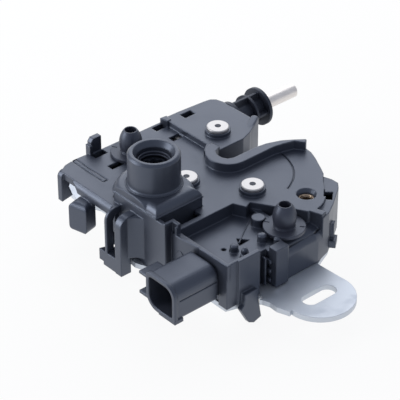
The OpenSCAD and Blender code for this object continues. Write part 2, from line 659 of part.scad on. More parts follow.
module plunger_spring() {
    turns = 6;
    n = 12;
    y0 = 36.9;
    y1 = 56.3;
    r = 5.6;
    color(bright) at_datum() translate([p_rod[0], 0, p_rod[1]]) {
        for (i = [0 : turns * n - 1]) hull() {
            translate([r * cos(360 * i / n), y0 + (y1 - y0) * i / (turns * n), r * sin(360 * i / n)])
                rotate([0, -360 * i / n, 0]) cylinder(d = 1.3, h = 0.02, $fn = 6);
            translate([r * cos(360 * (i + 1) / n), y0 + (y1 - y0) * (i + 1) / (turns * n), r * sin(360 * (i + 1) / n)])
                rotate([0, -360 * (i + 1) / n, 0]) cylinder(d = 1.3, h = 0.02, $fn = 6);
        }
    }
}

module guide_bush() {
    color(dark_part) at_datum() difference() {
        union() {
            rod_axis(62, 71, 6.5);
            rod_axis(70.5, bush_y, 6);
            rod_axis(bush_y - 2, bush_y, bush_r);
            rod_axis(bush_y - 10, bush_y - 8.6, bush_r - 1.6);
            rod_axis(70.5, 73, bush_r - 1.2);
            translate([p_rod[0] - bush_r + 1.6, 72, p_rod[1] - 0.8]) cube([2 * bush_r - 3.2, bush_y - 73, 1.6]);
            translate([p_rod[0] - 0.8, 72, p_rod[1] - bush_r + 1.6]) cube([1.6, bush_y - 73, 2 * bush_r - 3.2]);
        }
        rod_axis(50, 120, plunger_d / 2 + fit);
    }
}

// headed rivet: shank, shoulder that carries the moving piece, tail under the plate
module rivet(p, top, seat) {
    color(bright) at_datum() difference() {
        union() {
            post(p, rivet_d / 2 - 1.1, 0, plate_t + 1);
            post(p, rivet_d / 2 + 2.2, plate_t, seat);
            post(p, rivet_d / 2, plate_t + 0.5, top + 0.2);
            post(p, rivet_head_d / 2, top + 0.1, top + 1.3);
            at(p, top + 1.3) cylinder(r1 = rivet_head_d / 2, r2 = rivet_head_d / 2 - 0.5, h = 0.4);
            at(p, 0) cylinder(r1 = rivet_d / 2 + 1, r2 = rivet_d / 2 - 1.1, h = 2.1);
        }
        at(p, top + 0.5) cylinder(r1 = 0.8, r2 = 1.7, h = 1.21);
    }
}

module rivet_catch() {
    rivet(p_catch, cover_top + seat_h, catch_z0 - 0.1);
}

module rivet_pawl() {
    rivet(p_pawl, cover_top + seat_h, catch_z0 - 0.1);
}

module rivet_safety() {
    rivet(p_safe, pad_z + seat_h, hook_z0 - 0.1);
}

plug_x0 = 26.8;
pin_x = [33.4, 41.4];
plug_z0 = 7.4;

module plug_outline(d = 0) {
    x0 = plug_x0 + d;
    x1 = plug_x0 + plug_w - d;
    z0 = plug_z0 + d;
    z1 = plug_z0 + plug_h - d;
    polygon(concat(arc([x0 + 8 - d, z0 + 8 - d], 8 - d, 180, 270, 8), arc([x1 - 1.8, z0 + 1.8], 1.8, 270, 360, 3),
        arc([x1 - 7 + d, z1 - 7 + d], 7 - d, 0, 90, 8), arc([x0 + 2, z1 - 2], 2, 90, 180, 3)));
}

module along_y(y0, y1) {
    translate([0, y1, 0]) rotate([90, 0, 0]) linear_extrude(y1 - y0) children();
}

module connector() {
    y0 = front_y - plug_l;
    color(black) at_datum() difference() {
        union() {
            along_y(y0, front_y - 2) plug_outline();
            along_y(front_y - 2.1, front_y - gap) plug_outline(1.6);
            along_y(y0 - 0.5, y0 + 1.6) plug_outline(-0.5);
            box(plug_x0 + 9, plug_x0 + plug_w + 0.5, y0 - 0.5, y0 + 5, plug_z0 - 1.2, plug_z0 + 1);
            box(20.5, plug_x0 + 1, y0, y0 + 12, 22.8, 24.2);
            box(20.5, plug_x0 + 1, y0, y0 + 6, 10.8, 12.4);
            // neck through the front wall, carrier of the switch behind it
            box(neck_x[0], neck_x[1], front_y - 2, front_y + 3.4, neck_z[0] + 3, neck_z[1]);
            box(neck_x[0], neck_x[1], front_y + 0.2, front_y + 3.4, neck_z[0], neck_z[1]);
            box(30, 45.8, front_y + 3, -8, neck_z[0], neck_z[0] + 2);
        }
        along_y(y0 - 2, front_y - 4) plug_outline(1.5);
        // seam along the right side
        box(plug_x0 + plug_w - 0.45, plug_x0 + plug_w + 2, y0 + 3, front_y, 18.4, 19.1);
        // holes of the contact pins
        for (x = pin_x) box(x - 0.85, x + 0.85, front_y - 5, front_y + 5, 12.6, 15.4);
    }
}

module contact_pins() {
    color(brass) at_datum() {
        for (x = pin_x) box(x - 0.8, x + 0.8, front_y - 18, front_y + 6.3, 12.65, 15.35);
    }
}

module microswitch() {
    color(dark_part) at_datum() difference() {
        union() {
            box(30.5, 45.5, front_y + 6.5, -10, neck_z[0] + 2.05, 18.2);
            box(33, 35, -10.2, -8.6, 9, 15);
            box(41, 43, -10.2, -8.6, 9, 15);
        }
        box(36.9, 39.1, -13, -5, 10.9, 13.1);
    }
}

module switch_button() {
    color(brass) at_datum() box(37, 39, -12.4, -6.4, 11, 13);
}

module thread_insert() {
    color(brass) at_datum() difference() {
        union() {
            post(screw_xy, 4.02, 18, cover_top - 2.6);
            post(screw_xy, 6, 16.6, 18.5);
        }
        post(screw_xy, 2.8, 0, 60);
        at(screw_xy, cover_top - 3.8) cylinder(r1 = 2.8, r2 = 3.6, h = 1.3);
    }
}

// barrel peg with a slit disc under it and a pin into the cover
module peg(z) {
    color(rubber) difference() {
        union() {
            translate([0, 0, z + 2.2]) rotate_extrude() difference() {
                intersection() {
                    square([peg_d / 2, peg_h]);
                    translate([peg_d / 2 - 12, peg_h * 0.4]) circle(r = 12, $fn = 180);
                }
                translate([-1, peg_h - 6]) square([4.1, 10]);
            }
            translate([0, 0, z + 0.05]) cylinder(r = 11, h = 1.8);
            translate([0, 0, z + 1.8]) cylinder(r = 5.6, h = 1);
            translate([0, 0, z - 4]) cylinder(r = 3, h = 5);
        }
        rotate([0, 0, 40]) translate([8, -0.25, z - 1]) cube([8, 0.5, 4]);
        rotate([0, 0, 210]) translate([8, -0.25, z - 1]) cube([8, 0.5, 4]);
    }
}

module peg_left() {
    at_datum() at(peg_l_xy) peg(cover_top);
}

module peg_right() {
    at_datum() at(peg_r_xy) peg(tray_z + 2.1);
}

base_plate();
cover();
key_tower();
key_rotor();
key_insert();
key_cam();
key_seal();
release_lever();
catch();
catch_sleeve();
catch_spring();
pawl();
pawl_spring();
safety_hook();
safety_spring();
plunger();
plunger_clip();
plunger_spring();
guide_bush();
rivet_catch();
rivet_pawl();
rivet_safety();
connector();
contact_pins();
microswitch();
switch_button();
thread_insert();
peg_left();
peg_right();
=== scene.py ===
"""Looks of the hood latch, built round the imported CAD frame.

The CAD frame carries every solid and every joint. This script gives the solids their finishes, adds the fine
pieces that the photograph shows, and sets the studio and the camera. Sizes in the classes are millimetres in
the row frame, and meshes are metres: the origin is on the catch pivot, on the mounting plane, with Z out of
the cover and Y out of the striker mouth.
"""

import json
import logging
import math
from dataclasses import dataclass, field
from enum import Enum

import bmesh
import bpy
import numpy as np
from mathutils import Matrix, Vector


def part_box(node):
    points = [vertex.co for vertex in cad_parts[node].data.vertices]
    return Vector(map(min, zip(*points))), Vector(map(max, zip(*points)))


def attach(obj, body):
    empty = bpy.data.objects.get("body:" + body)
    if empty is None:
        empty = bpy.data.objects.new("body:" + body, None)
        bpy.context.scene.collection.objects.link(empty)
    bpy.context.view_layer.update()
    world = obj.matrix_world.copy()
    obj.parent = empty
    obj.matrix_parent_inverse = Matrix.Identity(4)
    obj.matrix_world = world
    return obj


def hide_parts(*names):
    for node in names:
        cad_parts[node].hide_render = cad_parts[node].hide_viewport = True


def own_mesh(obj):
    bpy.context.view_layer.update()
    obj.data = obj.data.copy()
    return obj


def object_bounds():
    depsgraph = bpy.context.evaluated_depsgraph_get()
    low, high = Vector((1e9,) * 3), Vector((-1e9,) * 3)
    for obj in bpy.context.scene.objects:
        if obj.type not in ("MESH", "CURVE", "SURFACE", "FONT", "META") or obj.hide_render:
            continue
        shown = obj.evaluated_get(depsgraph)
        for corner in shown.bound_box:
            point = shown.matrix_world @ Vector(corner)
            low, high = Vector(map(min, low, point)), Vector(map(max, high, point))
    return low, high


LOG = logging.getLogger("hood_latch")
MM = 0.001

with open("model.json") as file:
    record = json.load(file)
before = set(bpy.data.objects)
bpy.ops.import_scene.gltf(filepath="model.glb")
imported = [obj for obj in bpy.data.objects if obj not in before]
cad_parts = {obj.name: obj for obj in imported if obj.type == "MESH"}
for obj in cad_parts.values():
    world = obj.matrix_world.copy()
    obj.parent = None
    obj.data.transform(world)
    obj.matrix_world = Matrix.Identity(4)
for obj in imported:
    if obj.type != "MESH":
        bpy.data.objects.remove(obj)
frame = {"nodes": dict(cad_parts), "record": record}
CAD_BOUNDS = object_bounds()

Pair = tuple[float, float]
Triple = tuple[float, float, float]


# ---------------------------------------------------------------- places and names
class Place(Enum):
    """Axes of the latch in millimetres, as (x, y) in the row frame."""

    CATCH = (0.0, 0.0)
    PAWL = (-28.0, -21.0)
    SAFETY = (-50.0, 20.5)
    KEY = (-27.0, -43.5)
    SCREW = (21.0, 18.5)


class Body(Enum):
    """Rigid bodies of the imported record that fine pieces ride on."""

    HOUSING = "housing"
    KEY = "key"


class Slot(Enum):
    """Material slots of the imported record."""

    ZINC = "zinc_steel"
    HOUSING = "housing"
    INNER = "inner_plastic"
    FORGED = "forged_steel"
    RIVET = "rivet_steel"
    SPRING = "spring_steel"
    ROD = "rod_steel"
    RUBBER = "rubber_black"
    BRASS = "brass"


# ---------------------------------------------------------------- node graph
class Socket:
    """An output socket of a shader graph, with arithmetic that adds nodes.

    Args:
        graph: the graph that the socket belongs to.
        socket: Blender's output socket, or None behind a node that has none.
    """

    def __init__(self, graph: "Graph", socket: bpy.types.NodeSocket | None) -> None:
        """Keeps the graph and the socket."""
        self.graph = graph
        self.socket = socket

    def _math(self, operation: str, first: "Socket | float", second: "Socket | float") -> "Socket":
        """Adds one Math node for an operation on two values."""
        return self.graph.add("ShaderNodeMath", first, second, operation=operation)

    def __add__(self, other: "Socket | float") -> "Socket":
        """This value plus another."""
        return self._math("ADD", self, other)

    def __radd__(self, other: "Socket | float") -> "Socket":
        """Another value plus this one."""
        return self._math("ADD", other, self)

    def __sub__(self, other: "Socket | float") -> "Socket":
        """This value less another."""
        return self._math("SUBTRACT", self, other)

    def __rsub__(self, other: "Socket | float") -> "Socket":
        """Another value less this one."""
        return self._math("SUBTRACT", other, self)

    def __mul__(self, other: "Socket | float") -> "Socket":
        """This value times another."""
        return self._math("MULTIPLY", self, other)

    def __rmul__(self, other: "Socket | float") -> "Socket":
        """Another value times this one."""
        return self._math("MULTIPLY", other, self)

    def ramp(self, low: float, high: float) -> "Socket":
        """0 below the low value, 1 above the high one, and straight between them."""
        return self.graph.add("ShaderNodeMapRange", self, low, high, 0.0, 1.0)

    def clamp(self) -> "Socket":
        """The value held between 0 and 1."""
        return self.graph.add("ShaderNodeClamp", self)


class Graph:
    """Builds the shader graph of one material or world.

    Args:
        owner: the material or world whose nodes are replaced.
    """

    def __init__(self, owner: bpy.types.Material | bpy.types.World) -> None:
        """Empties the owner's node tree."""
        owner.use_nodes = True
        self.tree = owner.node_tree
        self.tree.nodes.clear()

    def add(
        self,
        kind: str,
        *values: object,
        out: int | str = 0,
        inputs: dict[int | str, object] | None = None,
        **settings: object,
    ) -> Socket:
        """Adds a node, settings first, then its inputs.

        Args:
            kind: Blender's node type name.
            values: values or sockets for the first inputs, in order.
            out: the output to return.
            inputs: values or sockets by input name or index.
            settings: attributes of the node itself.

        Returns:
            The chosen output, wrapped.
        """
        node = self.tree.nodes.new(kind)
        for key, value in settings.items():
            setattr(node, key, value)
        for key, value in [*enumerate(values), *(inputs or {}).items()]:
            target = node.inputs[key]
            if isinstance(value, Socket):
                self.tree.links.new(value.socket, target)
            else:
                target.default_value = value
        return Socket(self, node.outputs[out] if len(node.outputs) else None)

    def mix(self, factor: object, first: object, second: object) -> Socket:
        """Mixes two colours by a factor."""
        return self.add("ShaderNodeMix", inputs={0: factor, 6: first, 7: second}, out=2, data_type="RGBA")

    def noise(self, place: Socket, scale: float, detail: float) -> Socket:
        """Noise over a place, with so many cells in a metre."""
        return self.add("ShaderNodeTexNoise", inputs={"Vector": place, "Scale": scale, "Detail": detail})


# ---------------------------------------------------------------- finishes
@dataclass(frozen=True)
class Finish:
    """How one material slot looks.

    Attributes:
        slot: the record's material slot.
        colour: base colour, linear RGB.
        roughness: mean roughness.
        metallic: 0 for plastics and rubber, near 1 for metals.
        mottle: share by which broad noise lightens or darkens the colour.
        grain: size of the fine surface texture in metres.
        bump: depth of the fine texture in metres.
        sheen: specular level of the surface, 0.5 for an everyday plastic.
        edge: radius in metres by which the shading rounds the edges.
        tint: colour of the sheen.
        haze: share by which cloudy stains roughen and grey the surface.
        patch: size of the stains in metres.
    """

    slot: Slot
    colour: Triple
    roughness: float
    metallic: float = 0.0
    mottle: float = 0.08
    grain: float = 0.0008
    bump: float = 0.00001
    sheen: float = 0.5
    edge: float = 0.0004
    tint: Triple = (1.0, 1.0, 1.0)
    haze: float = 0.0
    patch: float = 0.012

    def shade(self, share: float) -> tuple[float, float, float, float]:
        """The colour made lighter or darker by a share, as RGBA."""
        red, green, blue = (min(1.0, part * share) for part in self.colour)
        return red, green, blue, 1.0


COOL_SHEEN = (0.68, 0.78, 1.0)

FINISHES = (
    Finish(
        Slot.ZINC,
        colour=(0.56, 0.60, 0.66),
        roughness=0.46,
        metallic=0.70,
        mottle=0.07,
        grain=0.0012,
        bump=0.000015,
        haze=0.16,
        patch=0.009,
    ),
    Finish(
        Slot.HOUSING,
        colour=(0.027, 0.031, 0.043),
        roughness=0.36,
        mottle=0.14,
        grain=0.0006,
        bump=0.00003,
        sheen=1.0,
        edge=0.0011,
        tint=COOL_SHEEN,
        haze=0.05,
    ),
    Finish(
        Slot.INNER,
        colour=(0.016, 0.018, 0.026),
        roughness=0.48,
        grain=0.0006,
        bump=0.00002,
        sheen=0.55,
        edge=0.0006,
        tint=COOL_SHEEN,
    ),
    Finish(Slot.FORGED, colour=(0.30, 0.31, 0.32), roughness=0.36, metallic=0.9, grain=0.001, bump=0.00002, haze=0.1),
    Finish(Slot.RIVET, colour=(0.52, 0.51, 0.51), roughness=0.40, metallic=0.85, mottle=0.04),
    Finish(Slot.SPRING, colour=(0.50, 0.50, 0.50), roughness=0.26, metallic=1.0, mottle=0.04),
    Finish(
        Slot.ROD,
        colour=(0.80, 0.76, 0.73),
        roughness=0.38,
        metallic=0.6,
        mottle=0.05,
        grain=0.001,
        haze=0.08,
        patch=0.004,
    ),
    Finish(
        Slot.RUBBER,
        colour=(0.026, 0.028, 0.040),
        roughness=0.44,
        mottle=0.10,
        bump=0.00003,
        sheen=0.85,
        edge=0.0008,
        tint=COOL_SHEEN,
        haze=0.05,
    ),
    Finish(Slot.BRASS, colour=(0.40, 0.31, 0.23), roughness=0.34, metallic=0.9),
)


@dataclass
class FinishMaker:
    """Makes each finish's Blender material once.

    Attributes:
        finishes: the finish of each slot.
        made: the materials made so far.
        mottle_scale: noise cells of the mottle in a metre.
        mottle_detail: finer layers of its noise.
        mottle_swing: how far the mottle moves the roughness.
        stain_detail: finer layers of the stains' noise.
        stain_edge: noise levels at which a stain starts and at which it is full.
        stain_shade: how much lighter than the base a full stain is.
        grain_detail: finer layers of the fine texture's noise.
        grain_strength: share of the fine texture that the shading takes up.
        edge_samples: rays that find a rounded edge.
    """

    finishes: dict[Slot, Finish]
    made: dict[Slot, bpy.types.Material] = field(default_factory=dict)
    mottle_scale: float = 60.0
    mottle_detail: float = 3.0
    mottle_swing: float = 0.16
    stain_detail: float = 6.0
    stain_edge: Pair = (0.5, 0.68)
    stain_shade: float = 1.5
    grain_detail: float = 2.0
    grain_strength: float = 0.6
    edge_samples: int = 6

    def material(self, slot: Slot) -> bpy.types.Material:
        """The procedural material of a slot.

        Args:
            slot: the material slot.

        Returns:
            A Blender material with the slot's finish.
        """
        if slot not in self.made:
            self.made[slot] = self._build(self.finishes[slot])
        return self.made[slot]

    def _build(self, finish: Finish) -> bpy.types.Material:
        """Broad mottle and stains in colour and roughness, a fine grain and a rounded edge in the normal.

        Args:
            finish: how the material looks.

        Returns:
            The new material.
        """
        material = bpy.data.materials.new(finish.slot.value)
        graph = Graph(material)
        place = graph.add("ShaderNodeTexCoord", out="Object")
        broad = graph.noise(place, self.mottle_scale, self.mottle_detail)
        stain = graph.noise(place, 1.0 / finish.patch, self.stain_detail)
        fine = graph.noise(place, 1.0 / finish.grain, self.grain_detail)
        cloud = stain.ramp(*self.stain_edge) * finish.haze
        colour = graph.mix(broad, finish.shade(1 - finish.mottle), finish.shade(1 + finish.mottle))
        rough = (broad - 0.5) * self.mottle_swing + cloud + finish.roughness
        edge = graph.add("ShaderNodeBevel", samples=self.edge_samples, inputs={"Radius": finish.edge})
        relief = {"Height": fine, "Distance": finish.bump, "Strength": self.grain_strength, "Normal": edge}
        surface = {
            "Base Color": graph.mix(cloud, colour, finish.shade(self.stain_shade)),
            "Roughness": rough.clamp(),
            "Metallic": finish.metallic,
            "Specular IOR Level": finish.sheen,
            "Specular Tint": (*finish.tint, 1.0),
            "Normal": graph.add("ShaderNodeBump", inputs=relief),
        }
        shader = graph.add("ShaderNodeBsdfPrincipled", inputs=surface)
        graph.add("ShaderNodeOutputMaterial", inputs={"Surface": shader})
        return material


# ---------------------------------------------------------------- surfaces
SHARP_EDGE = math.radians(40)
WELD = 0.0001 * MM


def weld(mesh: bpy.types.Mesh) -> None:
    """Joins points that lie on each other, which also drops the faces that have no area.

    Args:
        mesh: the mesh that is changed.
    """
    work = bmesh.new()
    work.from_mesh(mesh)
    bmesh.ops.remove_doubles(work, verts=work.verts, dist=WELD)
    work.to_mesh(mesh)
    work.free()


def linked(name: str, mesh: bpy.types.Mesh) -> bpy.types.Object:
    """Puts a mesh into the scene as an object at the origin.

    Args:
        name: object and piece name.
        mesh: its mesh.

    Returns:
        The new object.
    """
    obj = bpy.data.objects.new(name, mesh)
    bpy.context.scene.collection.objects.link(obj)
    return obj


@dataclass
class Surface:
    """A mesh as arrays.

    Attributes:
        points: one row each, in millimetres.
        faces: lists of point numbers.
    """

    points: np.ndarray
    faces: list[list[int]]

    def build(self, name: str) -> bpy.types.Object:
        """Makes a linked Blender object in metres, smooth with its sharp edges kept.

        Args:
            name: object and piece name.

        Returns:
            The new object at the origin.
        """
        mesh = bpy.data.meshes.new(name)
        mesh.from_pydata((self.points * MM).tolist(), [], self.faces)
        mesh.validate()
        weld(mesh)
        mesh.polygons.foreach_set("use_smooth", np.ones(len(mesh.polygons), bool))
        mesh.set_sharp_from_angle(angle=SHARP_EDGE)
        return linked(name, mesh)

    def joined(self, other: "Surface") -> "Surface":
        """This surface and another as one mesh."""
        moved = [[index + len(self.points) for index in face] for face in other.faces]
        return Surface(np.concatenate([self.points, other.points]), self.faces + moved)


def grid_faces(rows: int, columns: int, wrap_rows: bool = False) -> list[list[int]]:
    """Quads of a grid whose columns close into a ring.

    They face outwards where the columns run to the left round the way from row to row.

    Args:
        rows: number of rings.
        columns: points in a ring.
        wrap_rows: True where the last ring joins the first.

    Returns:
        The faces as index lists.
    """
    index = np.arange(rows * columns).reshape(rows, columns)
    low, high = (index, np.roll(index, -1, 0)) if wrap_rows else (index[:-1], index[1:])
    quads = np.stack([low, np.roll(low, -1, 1), np.roll(high, -1, 1), high], -1)
    return quads.reshape(-1, 4).tolist()


def capped(rings: np.ndarray) -> Surface:
    """Joins rings of points into a wall and closes its two ends with flat faces.

    Args:
        rings: points in millimetres, one row of points for each ring.

    Returns:
        The closed surface.
    """
    rows, columns = rings.shape[:2]
    last = (rows - 1) * columns
    ends = [list(range(columns))[::-1], list(range(last, last + columns))]
    return Surface(rings.reshape(-1, 3), grid_faces(rows, columns) + ends)


def lathe(
    profile: list[Pair] | np.ndarray,
    centre: Pair,
    steps: int = 64,
    lobes: int = 0,
    depth: float = 0.0,
) -> Surface:
    """Turns a closed profile about a vertical axis.

    A point is the centre plus its radius times (cos a, sin a), at its height. With lobes, the radius of the
    first half of the profile, its inner side, also gains depth times cos(lobes a).

    Args:
        profile: (radius, height) pairs that run to the left round a closed section, inner side first where
            it has lobes.
        centre: the axis.
        steps: points round the axis.
        lobes: number of waves round the inner side.
        depth: height of those waves.

    Returns:
        The turned surface.
    """
    pairs = np.array(profile, float)
    angle = np.linspace(0, 2 * np.pi, steps, endpoint=False)
    radius = np.repeat(pairs[:, :1], steps, 1)
    radius[: len(pairs) // 2] += depth * np.cos(lobes * angle)
    points = np.stack([radius * np.cos(angle), radius * np.sin(angle), np.repeat(pairs[:, 1:], steps, 1)], -1)
    points[..., :2] += centre
    return Surface(points.reshape(-1, 3), grid_faces(len(pairs), steps, wrap_rows=True))


def turned(profile: list[Pair], centre: Pair, steps: int = 48) -> Surface:
    """Turns an open profile about a vertical axis and closes its two ends with flat discs.

    A point is the centre plus its radius times (cos a, sin a), at its height.

    Args:
        profile: (radius, height) pairs from the lower end to the upper one.
        centre: the axis.
        steps: points round the axis.

    Returns:
        The closed surface.
    """
    pairs = np.array(profile, float)
    angle = np.linspace(0, 2 * np.pi, steps, endpoint=False)
    points = np.empty((len(pairs), steps, 3))
    points[:, :, :2] = pairs[:, None, :1] * np.stack([np.cos(angle), np.sin(angle)], 1) + np.array(centre)
    points[:, :, 2] = pairs[:, 1:]
    return capped(points)


def tube(path: np.ndarray, radius: float, steps: int = 12) -> Surface:
    """Carries a circle along an open path and closes the ends.

    Each ring lies in the plane across the path's heading: the point is the path point plus radius times
    (cos a side + sin a fall), where side is square to the heading and to the vertical, and fall is square to
    the heading and to side.

    Args:
        path: points of the centre line, one row each.
        radius: of the circle.
        steps: points round it.

    Returns:
        The closed tube.
    """
    heading = np.gradient(path, axis=0)
    heading /= np.linalg.norm(heading, axis=1, keepdims=True)
    side = np.cross(heading, [0.0, 0.0, 1.0])
    side /= np.linalg.norm(side, axis=1, keepdims=True)
    fall = np.cross(heading, side)
    angle = np.linspace(0, 2 * np.pi, steps, endpoint=False)[:, None]
    ring = np.cos(angle) * side[:, None] + np.sin(angle) * fall[:, None]
    return capped(path[:, None] + radius * ring)


def rounded_block(low: Triple, high: Triple, radius: float, steps: int = 4) -> Surface:
    """A block whose edges and corners are all rounded.

    Over the whole sphere of directions, a point is the nearest corner of the block shrunk by the radius, plus
    radius times the direction. Each quarter turn starts and ends on its own copy of the flat's direction.

    Args:
        low: lowest corner.
        high: highest corner.
        radius: of the rounding.
        steps: segments in a quarter turn.

    Returns:
        The closed surface.
    """
    quarter = np.linspace(0, np.pi / 2, steps + 1)
    turn = np.concatenate([quarter + k * np.pi / 2 for k in range(4)])
    rise = np.concatenate([quarter - np.pi / 2, quarter])[:, None]
    side_x = np.repeat([1, -1, -1, 1], steps + 1)
    side_y = np.repeat([1, 1, -1, -1], steps + 1)
    side_z = np.repeat([-1, 1], steps + 1)[:, None]
    half = (np.array(high) - np.array(low)) / 2
    core = half - radius
    x = side_x * core[0] + radius * np.cos(rise) * np.cos(turn)
    y = side_y * core[1] + radius * np.cos(rise) * np.sin(turn)
    z = side_z * core[2] + radius * np.sin(rise) + 0 * turn
    return capped(np.stack([x, y, z], -1) + np.array(low) + half)


def prism(outline: tuple[Pair, ...], low: float, high: float) -> Surface:
    """Raises an outline straight up.

    Args:
        outline: (x, y) corners, to the left round the prism seen from above.
        low: height of the foot.
        high: height of the top.

    Returns:
        The closed surface.
    """
    corners = np.array(outline)
    rings = [np.column_stack([corners, np.full(len(corners), height)]) for height in (low, high)]
    return capped(np.stack(rings))


def dome(radius: float, low: float, high: float, steps: int = 8) -> list[Pair]:
    """Profile of a post with a domed head: straight up, then a quarter ellipse to nearly the axis.

    Args:
        radius: of the post.
        low: height of its foot.
        high: height of its crown.
        steps: segments of the dome.

    Returns:
        (radius, height) pairs.
    """
    straight, last = 0.35, math.radians(86)
    turn = np.linspace(0, last, steps + 1)
    spring = low + (high - low) * straight
    head = zip(radius * np.cos(turn), spring + (high - spring) * np.sin(turn))
    return [(radius, low), *((float(r), float(z)) for r, z in head)]


# ---------------------------------------------------------------- workshop
@dataclass
class Workshop:
    """Turns surfaces into painted pieces that ride on a body.

    Attributes:
        makers: the finishes.
        nodes: the CAD nodes by name.
        made: number of pieces made so far.
    """

    makers: FinishMaker
    nodes: dict[str, bpy.types.Object]
    made: int = 0

    def paint(self, obj: bpy.types.Object, slot: Slot) -> None:
        """Gives an object the finish of a slot and no other."""
        obj.data.materials.clear()
        obj.data.materials.append(self.makers.material(slot))

    def piece(self, surface: Surface, name: str, slot: Slot, body: Body = Body.HOUSING) -> bpy.types.Object:
        """Makes one fine piece from its surface, a name, the slot of its finish and the body that it rides on."""
        return self.finished(surface.build(name), slot, body)

    def finished(self, obj: bpy.types.Object, slot: Slot, body: Body) -> bpy.types.Object:
        """Paints a piece and lets it ride on its body.

        Args:
            obj: the piece.
            slot: the material slot that it takes its finish from.
            body: the rigid body that it rides on.

        Returns:
            The riding object.
        """
        self.paint(obj, slot)
        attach(obj, body.value)
        self.made += 1
        LOG.info("piece %s: %d faces, %s on %s", obj.name, len(obj.data.polygons), slot.value, body.value)
        return obj


# ---------------------------------------------------------------- sub-assemblies
@dataclass
class KeyBlock:
    """The key tower's block with its back cut straight, so that the pawl rivet shows beside it.

    Attributes:
        back: y of the block's straight back.
        slope: width of the steep slope behind it.
        flush: height of what lies behind the back, just over the cover's top.
        foot: radius round the key's axis inside which nothing is cut, for the round tower.
        near: distance in metres within which points and cuts count as one.
    """

    back: float = -29.3
    slope: float = 0.4
    flush: float = 30.05
    foot: float = 15.0
    near: float = 0.001 * MM

    def build(self, shop: Workshop) -> None:
        """Lowers the back of a merged copy of the CAD node and puts the copy in the node's place.

        Args:
            shop: holds the CAD node and makes the piece.
        """
        mesh = self._merged(shop.nodes["key_tower"].data)
        points = np.empty(len(mesh.vertices) * 3)
        mesh.vertices.foreach_get("co", points)
        mesh.vertices.foreach_set("co", self._lowered(points.reshape(-1, 3) / MM).ravel() * MM)
        weld(mesh)
        mesh.polygons.foreach_set("use_smooth", np.zeros(len(mesh.polygons), bool))
        block = shop.finished(linked("key_block", mesh), Slot.HOUSING, Body.HOUSING)
        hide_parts("key_tower")

    def _merged(self, source: bpy.types.Mesh) -> bpy.types.Mesh:
        """A copy whose triangles are joined, and cut along the back and along the foot of its slope.

        Args:
            source: the CAD node's mesh.

        Returns:
            The new mesh.
        """
        work = bmesh.new()
        work.from_mesh(source)
        bmesh.ops.remove_doubles(work, verts=work.verts, dist=self.near)
        for y in (self.back, self.back + self.slope):
            parts = [*work.verts, *work.edges, *work.faces]
            bmesh.ops.bisect_plane(work, geom=parts, plane_co=(0, y * MM, 0), plane_no=(0, 1, 0), dist=self.near)
        mesh = bpy.data.meshes.new("key_block")
        work.to_mesh(mesh)
        work.free()
        return mesh

    def _lowered(self, points: np.ndarray) -> np.ndarray:
        """Heights from the slope's foot backwards and outside the tower's foot are held to the flush height.

        Args:
            points: the block's points in millimetres, one row each.

        Returns:
            The same points with their new heights.
        """
        slack = 0.01
        reach = np.hypot(*(points[:, :2] - Place.KEY.value).T)
        behind = (points[:, 1] > self.back + self.slope - slack) & (reach > self.foot)
        points[behind, 2] = np.minimum(points[behind, 2], self.flush)
        return points


@dataclass
class PadTip:
    """The rounded fin that rises out of the raised pad and ends it beside the striker mouth.

    Attributes:
        start: centre of the fin's rounding towards the pad.
        end: centre of its rounding at the outer end.
        radius: half the fin's width.
        low: height of its foot, behind the mouth's lip.
        high: height of its crown, a little over the pad.
        roll: radius of the rounding round the crown.
        dip: how far the crown falls towards its start, to just under the pad.
    """

    start: Pair = (-42.0, 35.0)
    end: Pair = (-47.3, 44.7)
    radius: float = 2.3
    low: float = 15.0
    high: float = 34.8
    roll: float = 1.4
    dip: float = 1.45

    def build(self, shop: Workshop) -> None:
        """Builds the fin from a round post.

        The crown's rim is a quarter circle of the roll's radius. The half of the post towards the end moves
        by the way from start to end, and the other half's crown falls by the dip.

        Args:
            shop: makes the piece.
        """
        turn = np.linspace(0, np.pi / 2, 7)
        inner = self.radius - self.roll
        rim = zip(inner + self.roll * np.cos(turn), self.high - self.roll + self.roll * np.sin(turn))
        post = turned([(self.radius, self.low), *rim], self.start, steps=64)
        run = np.array(self.end) - np.array(self.start)
        outer = (post.points[:, :2] - np.array(self.start)) @ run > 0
        post.points[outer, :2] += run
        post.points[~outer & (post.points[:, 2] > self.low), 2] -= self.dip
        shop.piece(post, "pad_tip", Slot.HOUSING)


@dataclass
class RivetPunchShades:
    """Dark discs of painted shade that close the mouths of the three rivet heads' punches and stand for the shadow in
    them.

    Attributes:
        radius: of the disc's widest part, at the head's face.
        lip: inner radius of the low lip round the disc.
        chamfer: by which both sides of the lip lean inwards.
        proud: how far the lip stands over the head's face.
        sunk: how far the disc's own face lies under the head's.
        skin: how far the disc reaches into the punch.
    """

    radius: float = 1.7
    lip: float = 1.45
    chamfer: float = 0.05
    proud: float = 0.04
    sunk: float = 0.02
    skin: float = 0.3

    def build(self, shop: Workshop) -> None:
        """Closes each punch with a dark disc, painted shade in place of the shadow in the punch.

        Args:
            shop: makes the pieces.
        """
        places = {"rivet_catch": Place.CATCH, "rivet_pawl": Place.PAWL, "rivet_safety": Place.SAFETY}
        for node, place in places.items():
            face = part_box(node)[1][2] / MM
            # painted shade: a dark sheet in the inner finish where the punch holds only shadow
            shop.piece(self._shade_disc(face, place.value), f"{node}_punch", Slot.INNER)

    def _shade_disc(self, face: float, centre: Pair) -> Surface:
        """A thin dark disc of painted shade with a low lip that lies on the head's face.

        Args:
            face: height of the head's face.
            centre: the rivet's axis.

        Returns:
            The turned disc.
        """
        profile = [
            (self.lip - self.chamfer, face - self.skin),
            (self.radius, face - self.sunk),
            (self.radius - self.chamfer, face + self.proud),
            (self.lip, face + self.proud),
            (self.lip - self.chamfer, face - self.sunk),
        ]
        return turned(profile, centre)


